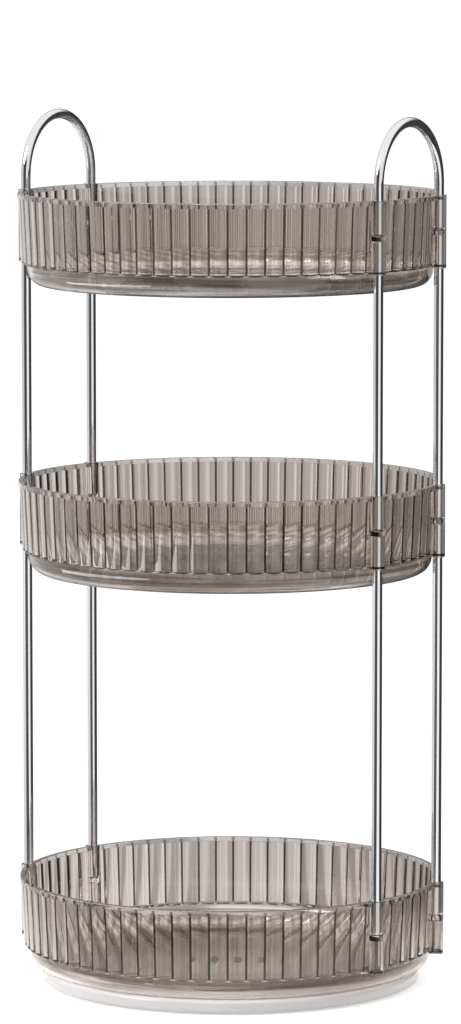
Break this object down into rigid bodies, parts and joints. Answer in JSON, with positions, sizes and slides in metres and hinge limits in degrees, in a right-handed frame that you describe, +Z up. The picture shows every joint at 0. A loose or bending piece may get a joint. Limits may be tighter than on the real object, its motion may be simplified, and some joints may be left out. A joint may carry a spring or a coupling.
{
  "type": "rotating organiser",
  "caption": "Rotating cosmetics tower of round fluted clear trays on chromed rods, with arched handles and a ball-bearing turntable base.",
  "frame": {"origin": "centre of the tower's axis on the surface that the rubber feet stand on", "axes": "+Z up along the axis of rotation; the pairs of rods and their arched handles are at +X and -X"},
  "size_m": [0.2608, 0.2608, 0.5363],
  "materials": {
    "smoke_plastic": "clear smoke-grey moulded plastic, polished",
    "chrome": "bright chrome plate on steel rod",
    "white_plastic": "glossy white moulded plastic",
    "grey_rubber": "matte soft rubber",
    "cage_plastic": "plain self-lubricating plastic",
    "bearing_steel": "polished bearing balls",
    "zinc_steel": "bright zinc-plated steel"
  },
  "bodies": {
    "base": {"base_disc": "white_plastic", "rubber_feet": "grey_rubber"},
    "tower": {"turntable_plate": "white_plastic", "pivot_screw": "zinc_steel", "pivot_washer": "zinc_steel", "tray_screws": "zinc_steel", "bottom_tray": "smoke_plastic", "middle_tray": "smoke_plastic", "top_tray": "smoke_plastic", "lower_rod_left_back": "chrome", "lower_rod_left_front": "chrome", "lower_rod_right_back": "chrome", "lower_rod_right_front": "chrome", "upper_rod_left_back": "chrome", "upper_rod_left_front": "chrome", "upper_rod_right_back": "chrome", "upper_rod_right_front": "chrome", "left_arch_handle": "chrome", "right_arch_handle": "chrome"},
    "ball_ring": {"ball_cage": "cage_plastic", "bearing_balls": "bearing_steel"}
  },
  "joints": [
    {"name": "tower_spin", "type": "hinge", "parent": "base", "child": "tower", "pos_m": [0, 0, 0.0044], "axis": [0, 0, 1], "continuous": true},
    {"name": "cage_spin", "type": "hinge", "parent": "base", "child": "ball_ring", "pos_m": [0, 0, 0.0044], "axis": [0, 0, 1], "continuous": true}
  ],
  "couplings": [
    {"joint": "cage_spin", "follows": "tower_spin", "ratio": 0.5}
  ]
}
